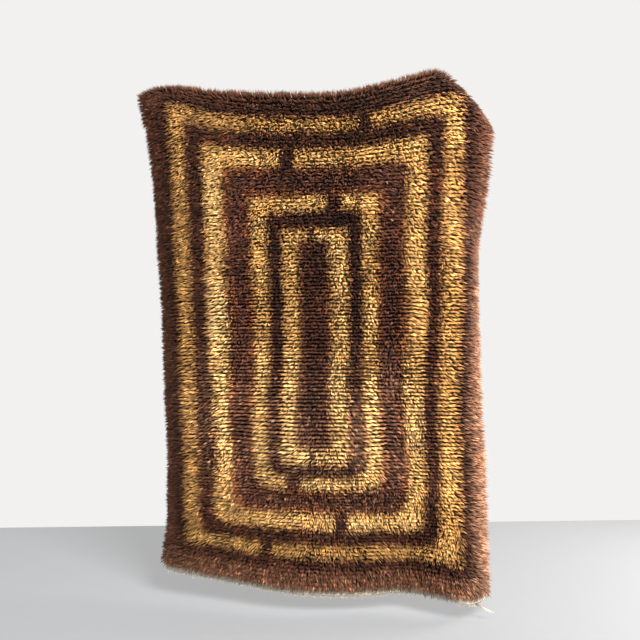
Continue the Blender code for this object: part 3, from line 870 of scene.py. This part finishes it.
class RYA_OT_rim(bpy.types.Operator):
    """Grows the wool that stands out past the rug's four edges"""
    bl_idname = "rya.rim"
    bl_label = "Rim wool"

    def execute(self, context):
        sizes, colours = context.scene.rya_sizes, context.scene.rya_colours
        draws = np.random.default_rng(30)
        low = LENGTH - HEM
        wide = draws.uniform(RIM_INSET, WIDTH - RIM_INSET, (2, sizes.knots * RIM_STRANDS["ends"]))
        deep = draws.uniform(RIM_INSET, low - RIM_INSET, (2, KNOT_ROWS * RIM_STRANDS["sides"]))
        end_depths = [[RIM_DEPTH["top"]], [RIM_DEPTH["bottom"]]]
        side_depths = [[RIM_DEPTH["left"]], [RIM_DEPTH["right"]]]
        inset = RIM_INSET + draws.uniform(0, 1, (2, len(wide[0]))) ** 1.5 * end_depths
        beside = RIM_INSET + draws.uniform(0, 1, (2, len(deep[0]))) ** 1.5 * side_depths
        self.edge("top_rim_wool", "top_locks", wide[0], inset[0], (0, -1), 31, sizes, colours)
        self.edge("left_rim_wool", "left_locks", beside[0], deep[0], (-1, 0), 32, sizes, colours)
        self.edge("right_rim_wool", "right_locks", WIDTH - beside[1], deep[1], (1, 0), 33, sizes, colours)
        self.edge("bottom_rim_wool", "bottom_locks", wide[1], low - inset[1], (0, 1), 34, sizes, colours)
        return {"FINISHED"}

    def edge(self, name, node, across, down, way, seed, sizes, colours):
        """Strands along one edge that lean out of it, `way` to the right and down."""
        draws = np.random.default_rng(seed)
        count = len(across)
        right, lower, out = directions(drape, across, down)
        outward = right * way[0] + lower * way[1]
        beside = right * way[1] + lower * way[0]
        spread = (0.25 * drift(across, down, 0.06, seed) + draws.normal(0, 0.20, count))[:, None]
        lean = draws.uniform(0.05, 1.3, count)[:, None]
        heavy = np.array([0.0, 0.0, -0.25])
        length = sizes.rim_length * draws.uniform(0.75, 1.1, count)
        within = np.minimum(np.minimum(across, WIDTH - across), np.minimum(down, LENGTH - HEM - down))
        length = length + 0.15 * within
        if way == (0, -1):
            length = length * (1 + 0.25 * bump((across - 0.62) / 0.65))
        if way == (0, 1):
            length = length * draws.uniform(0.85, 1.45, count)
        half = (length / 2)[:, None]
        roots = drape(across, down) + out * 0.0025
        first = unit(outward * 0.8 + out * (lean + 0.2) + beside * spread)
        second = unit(outward + out * lean * 0.6 + beside * spread * 1.4 + heavy)
        elbows = roots + first * half
        tips = elbows + second * half
        shades = wool_colours(across, down, colours, draws)
        # the top rim wool is dimmed as painted shade, with a faint ochre cast as painted light on its tips
        if way == (0, -1):
            shades = shades * 0.75 + np.array(colours.ochre) * 0.06
        radius = draws.uniform(0.35, 0.65, count) * sizes.strand_width / math.sqrt(3)
        piece = strand_piece(name, roots, elbows, tips, beside, radius, shades, draws)
        dress(piece, wool_of("wool"), node, node)


class RYA_OT_warp(bpy.types.Operator):
    """Leaves the fine warp ends under the hem, with one long tail"""
    bl_idname = "rya.warp"
    bl_label = "Warp ends"

    def execute(self, context):
        sizes, colours = context.scene.rya_sizes, context.scene.rya_colours
        draws = np.random.default_rng(41)
        across = np.sort(draws.uniform(0.01, WIDTH - 0.01, WARP_ENDS))
        down = np.full(WARP_ENDS, LENGTH)
        right, lower, out = directions(drape, across, down - 0.003)
        roots = drape(across, down - 0.001)
        length = (sizes.warp_end * draws.uniform(0.3, 1.4, WARP_ENDS))[:, None]
        spread = draws.normal(0, 0.45, WARP_ENDS)[:, None]
        lean = draws.normal(0.1, 0.3, WARP_ENDS)[:, None]
        elbows = roots + (lower + right * spread * 0.5 + out * lean) * length * 0.5
        tips = elbows + unit(lower + right * spread * 1.6 + out * lean) * length * 0.5
        # the tail's yarns part towards its tip
        root = drape(TAIL_PLACE, LENGTH)
        strays = draws.normal(0, 1, (TAIL_YARNS, 3))
        tail_roots = root + strays * 0.0012
        tail_elbows = root + np.array(TAIL_ELBOW) * TAIL_LENGTH + strays * 0.0018
        tail_tips = root + np.array(TAIL_TIP) * TAIL_LENGTH + strays * (0.006, 0.004, 0.0025)
        roots = np.concatenate([roots, tail_roots])
        elbows = np.concatenate([elbows, tail_elbows])
        tips = np.concatenate([tips, tail_tips])
        rights = np.concatenate([right, np.tile([0.0, 1.0, 0.2], (TAIL_YARNS, 1))])
        radius = WARP_RADIUS * draws.uniform(0.7, 1.3, len(roots))
        shades = np.array(colours.linen) * draws.uniform(0.8, 1.15, len(roots))[:, None] * 1.1
        piece = strand_piece("warp_ends", roots, elbows, tips, rights, radius, shades, draws)
        dress(piece, wool_of("linen_yarn"), "warp_fringe", "warp_fringe")
        return {"FINISHED"}


class RYA_OT_ground(bpy.types.Operator):
    """Weaves the ground with its hem, the cloth that carries all the rest"""
    bl_idname = "rya.ground"
    bl_label = "Ground weave"

    def execute(self, context):
        sizes, colours = context.scene.rya_sizes, context.scene.rya_colours
        across = np.linspace(0, WIDTH, WEAVE_CELLS + 1)
        down = np.append(np.linspace(0, LENGTH - HEM, KNOT_ROWS + 1), [LENGTH - HEM / 2, LENGTH])
        piece = cloth_slab("wool_ground", across, down, -WEAVE_THICK / 2, WEAVE_THICK / 2)
        wide, deep = (grid.ravel() for grid in np.meshgrid(across, down))
        shades = wool_colours(wide, deep, colours, np.random.default_rng(98))
        keep_colours(piece, np.tile(shades, (2, 1)))
        dress(piece, weave_material(colours, WIDTH / sizes.knots), "ground_weave", "ground_weave")
        carried = ["pile_shade_bed", "top_rim_wool", "left_rim_wool", "right_rim_wool", "bottom_rim_wool"]
        carried += ["warp_ends"] + [f"pile_rows_{i + 1}" for i in range(PILE_PIECES)]
        missing = [name for name in carried if name not in bpy.data.objects]
        if missing:
            raise RuntimeError(f"make these pieces before the ground: {', '.join(missing)}")
        return {"FINISHED"}


class RYA_OT_stage(bpy.types.Operator):
    """Sets the pale floor, the soft lights, the sky and the camera"""
    bl_idname = "rya.stage"
    bl_label = "Stage"

    def execute(self, context):
        scene = context.scene
        corners = np.array([(x, y, FLOOR_HEIGHT) for x, y in FLOOR_CORNERS])
        floor = joined_mesh("stage_floor", corners, np.array([[0, 1, 2, 3]]))
        floor.data.materials.append(floor_material(scene.rya_colours))
        world = bpy.data.worlds.new("soft_sky")
        world.use_nodes = True
        sky = world.node_tree.nodes["Background"]
        sky.inputs["Color"].default_value = (*hue(242, 241, 239), 1.0)
        sky.inputs["Strength"].default_value = 1.0
        scene.world = world
        for lamp in zip(*LAMPS.values()):
            self.lamp(*lamp)
        data = bpy.data.cameras.new("photo_camera")
        data.sensor_width = 36.0
        data.lens = data.sensor_width / 2 / math.tan(math.radians(CAMERA["view"]) / 2)
        camera = bpy.data.objects.new("photo_camera", data)
        scene.collection.objects.link(camera)
        turn, tilt = math.radians(CAMERA["turn"]), math.radians(CAMERA["tilt"])
        distance = CAMERA["distance"]
        camera.location = (distance * math.sin(turn), -distance * math.cos(turn), CAMERA["eye"])
        gaze = Vector((-math.sin(turn) * math.cos(tilt), math.cos(turn) * math.cos(tilt), math.sin(tilt)))
        camera.rotation_euler = gaze.to_track_quat("-Z", "Y").to_euler()
        scene.camera = camera
        scene.view_settings.view_transform = "Standard"
        return {"FINISHED"}

    def lamp(self, name, place, goal, size, power, colour):
        data = bpy.data.lights.new(name, "AREA")
        data.size = size
        data.energy = power
        data.color = colour
        light = bpy.data.objects.new(name, data)
        light.location = place
        light.rotation_euler = (Vector(goal) - Vector(place)).to_track_quat("-Z", "Y").to_euler()
        bpy.context.scene.collection.objects.link(light)


class RYA_PT_panel(bpy.types.Panel):
    """Lists the rug's pieces, sizes and colours"""
    bl_idname = "RYA_PT_panel"
    bl_label = "Rya rug"
    bl_space_type = "VIEW_3D"
    bl_region_type = "UI"
    bl_category = "Rya rug"

    def draw(self, context):
        for operator in OPERATORS:
            self.layout.operator(operator.bl_idname)
        for group in (context.scene.rya_sizes, context.scene.rya_colours):
            column = self.layout.column(align=True)
            for name in group.__annotations__:
                column.prop(group, name)


OPERATORS = (RYA_OT_pile, RYA_OT_rim, RYA_OT_warp, RYA_OT_ground, RYA_OT_stage)
CLASSES = (RyaSizes, RyaColours, *OPERATORS, RYA_PT_panel)


def register():
    for made in CLASSES:
        bpy.utils.register_class(made)
    bpy.types.Scene.rya_sizes = PointerProperty(type=RyaSizes)
    bpy.types.Scene.rya_colours = PointerProperty(type=RyaColours)


def unregister():
    del bpy.types.Scene.rya_colours
    del bpy.types.Scene.rya_sizes
    for made in reversed(CLASSES):
        bpy.utils.unregister_class(made)


def main():
    register()
    bpy.ops.rya.pile()
    bpy.ops.rya.rim()
    bpy.ops.rya.warp()
    bpy.ops.rya.ground()
    bpy.ops.rya.stage()


if __name__ == "__main__":
    main()
